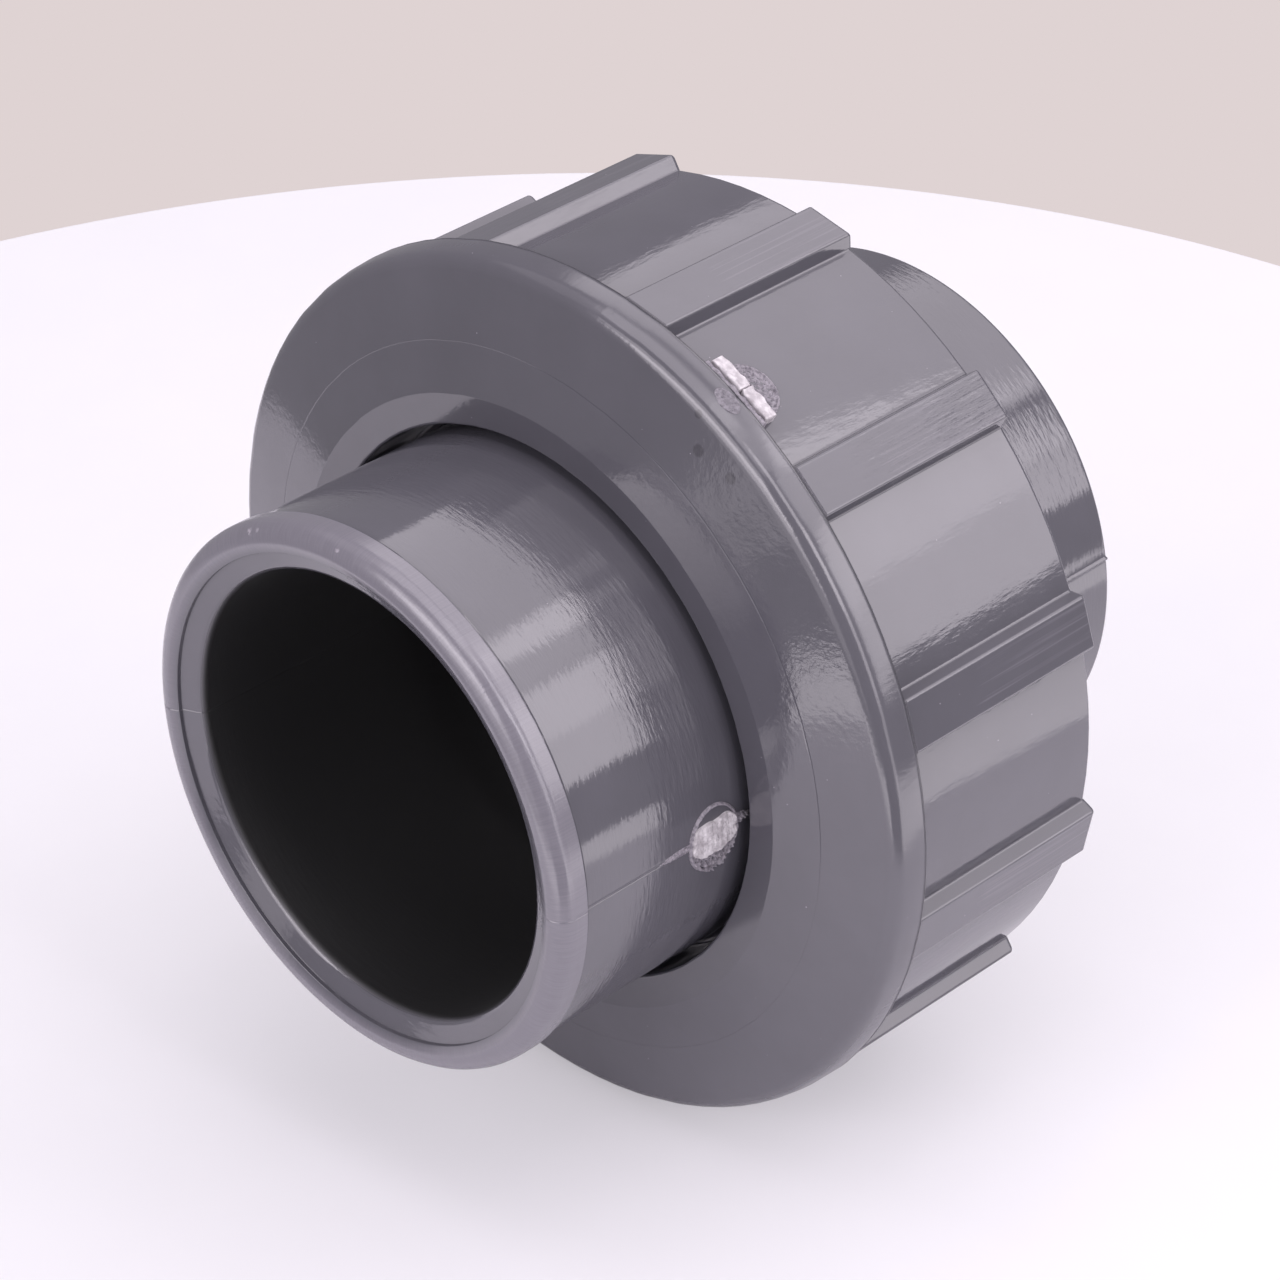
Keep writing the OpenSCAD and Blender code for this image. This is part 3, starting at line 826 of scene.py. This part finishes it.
nut_scuff = piece_of("nut_gate_scuffed_rim", [], [rim_scar])
nut_stub = piece_of("nut_gate_cut_stub", [], cut_lengths)
for scar in (nut_scar, nut_scuff, nut_stub):
    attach(scar, "nut")
nut_scar.data.materials.append(torn_pvc)
# The rim was only grazed: a little paler than the moulding, in grains of 0.4 mm, and satin
scuffed_pvc = broken_pvc("PVC, scuffed", "#817d85", "#67646b", grain=2400.0, roughness=0.25)
nut_scuff.data.materials.append(scuffed_pvc)
nut_stub.data.materials.append(cut_pvc)


# Studio: a plain pale floor that the union lies on, soft lamps round it, and the photo's camera.
# The floor is a round table top with a rounded edge, whose rim shows behind the union.
table_top = cad_box[0][2] / MM
TABLE_R = 172.0
TABLE_EDGE = 2.0
TABLE_CENTRE = np.array([-50.7, 16.2, 0])
SHARE_OF_WHITE = 0.4
edge = np.radians(np.arange(-90, 91, 15))
table_height = table_top - TABLE_EDGE + TABLE_EDGE * np.sin(edge)
table_side = np.stack([table_height, TABLE_R + TABLE_EDGE * np.cos(edge)], 1)
table_columns = np.linspace(0, 2 * math.pi, COLUMNS_ROUND, endpoint=False)
# The table is turned about Y, backwards, and then its Y and Z change places, which keeps its faces
# pointing outwards
floor = piece_of("floor", [], [turned(table_side, -table_columns)[..., [0, 2, 1]] + TABLE_CENTRE])
# Matt white paper, with clouds 17 mm across and fibres 0.7 mm apart. SHARE_OF_WHITE of its own
# white is laid over what the camera sees of it.
paper, tree, place = new_material("pale paper")
clouds = add_node(tree, "TexNoise", {"Vector": place, "Scale": 60.0, "Detail": 2.0, "Roughness": 0.55})
tone = add_node(tree, "MapRange", {"Value": clouds["Fac"], "From Min": 0.3, "From Max": 0.7})
white = add_node(tree, "Mix", {
    0: tone["Result"], 6: linear("#eeedf1"), 7: linear("#f0eff3")
}, data_type="RGBA")
fibres = add_node(tree, "TexNoise", {"Vector": place, "Scale": 1500.0, "Detail": 2.0, "Roughness": 0.55})
grain = add_node(tree, "Bump", {"Height": fibres["Fac"], "Distance": 0.01 * MM})
matt = add_node(tree, "BsdfPrincipled", {
    "Base Color": white[2], "Roughness": 0.9, "Specular IOR Level": 0.0, "Normal": grain["Normal"]
})
lit_white = add_node(tree, "Emission", {"Color": linear("#f7f3f9"), "Strength": 1.0})
seen = add_node(tree, "LightPath")["Is Camera Ray"]
share = add_node(tree, "Math", {0: seen, 1: SHARE_OF_WHITE}, operation="MULTIPLY")
lifted = add_node(tree, "MixShader", {0: share[0], 1: matt["BSDF"], 2: lit_white["Emission"]})
add_node(tree, "OutputMaterial", {"Surface": lifted["Shader"]})
floor.data.materials.append(paper)

# The camera sees a pale wall, and all else is lit by a dimmer, cooler air
world = bpy.data.worlds.new("studio")
world.use_nodes = True
tree = world.node_tree
tree.nodes.clear()
seen = add_node(tree, "LightPath")["Is Camera Ray"]
wall = add_node(tree, "Background", {"Color": linear("#dfd3d3"), "Strength": 1.0})
air = add_node(tree, "Background", {"Color": linear("#fbf6ff"), "Strength": 0.37})
sky = add_node(tree, "MixShader", {0: seen, 1: air["Background"], 2: wall["Background"]})
add_node(tree, "OutputWorld", {"Surface": sky["Shader"]})
bpy.context.scene.world = world

TARGET = np.array([-0.00012, 0.00023, 0.00042])  # metres
CAMERA_DISTANCE = 0.49093
CAMERA_AZIMUTH = 46.44
CAMERA_ELEVATION = 30.53
CAMERA_ROLL = 3.14
CAMERA_LENS = 133.3
CAMERA_SENSOR = 36


def from_target(distance, azimuth, elevation):
    """Point at a distance from the target in that direction: azimuth 0 is -Y and 90 is +X.

    The direction is (sin azimuth cos elevation, -cos azimuth cos elevation, sin elevation).
    """
    azimuth, elevation = math.radians(azimuth), math.radians(elevation)
    flat = math.cos(elevation)
    ray = np.array([math.sin(azimuth) * flat, -math.cos(azimuth) * flat, math.sin(elevation)])
    return TARGET + distance * ray


def aim(thing, place, roll=0.0):
    """Puts an object there, looking at the target, turned about its line of sight by roll."""
    gaze = Vector(TARGET - place)
    turn = gaze.to_track_quat("-Z", "Y").to_matrix().to_4x4()
    tilt = Matrix.Rotation(math.radians(roll), 4, "Z")
    thing.matrix_world = Matrix.Translation(Vector(place)) @ turn @ tilt


camera_data = bpy.data.cameras.new("camera")
camera_data.sensor_width = CAMERA_SENSOR
camera_data.lens = CAMERA_LENS
camera_data.clip_start = 0.01
camera = bpy.data.objects.new("camera", camera_data)
bpy.context.collection.objects.link(camera)
aim(camera, from_target(CAMERA_DISTANCE, CAMERA_AZIMUTH, CAMERA_ELEVATION), -CAMERA_ROLL)
bpy.context.scene.camera = camera

# The lamps stand round the union a metre off, each a softbox that shines as an even surface
LAMP_DISTANCE = 1.0
LAMP_TINT = (1.0, 0.93, 0.995)
# Name, azimuth and elevation in degrees, width and height in degrees as seen from the union, radiance
LAMPS = [
    ("front_low", 0, -2, 44, 20, 0.7),
    ("front_middle", 0, 15, 44, 14, 2.45),
    ("front_upper", 0, 29, 44, 14, 4.2),
    ("front_high", 0, 43, 44, 14, 1.65),
    ("right_low", 88, -6, 14, 20, 1.3),
    ("right_middle", 88, 14, 14, 20, 2.2),
    ("right_upper", 86, 34, 16, 20, 3.75),
    ("right_high", 84, 54, 14, 20, 2.75),
    ("far_right_middle", 122, 12, 30, 16, 2.4),
    ("far_right_upper", 123, 28, 30, 16, 3.05),
    ("far_right_high", 130, 45, 30, 18, 1.8),
    ("top_right", 90, 68, 50, 18, 1.2),
    ("top", 0, 90, 40, 40, 1.55),
    ("back", 185, 52, 60, 26, 1.5),
    ("left", 288, 58, 40, 30, 0.3),
    ("below_front", 8, -27, 44, 14, 2.1),
    ("below_right", 120, -25, 60, 18, 1.9)
]
for name, azimuth, elevation, wide, tall, radiance in LAMPS:
    lamp_data = bpy.data.lights.new(name, "AREA")
    lamp_data.shape = "RECTANGLE"
    # Each side is 2 * distance * tan(half its angle), and the energy is pi * radiance * area
    lamp_data.size = 2 * LAMP_DISTANCE * math.tan(math.radians(wide / 2))
    lamp_data.size_y = 2 * LAMP_DISTANCE * math.tan(math.radians(tall / 2))
    lamp_data.energy = math.pi * radiance * lamp_data.size * lamp_data.size_y
    lamp_data.color = LAMP_TINT
    lamp = bpy.data.objects.new(name, lamp_data)
    lamp.visible_camera = False
    bpy.context.collection.objects.link(lamp)
    aim(lamp, from_target(LAMP_DISTANCE, azimuth, elevation))

bpy.context.scene.view_settings.view_transform = "Standard"
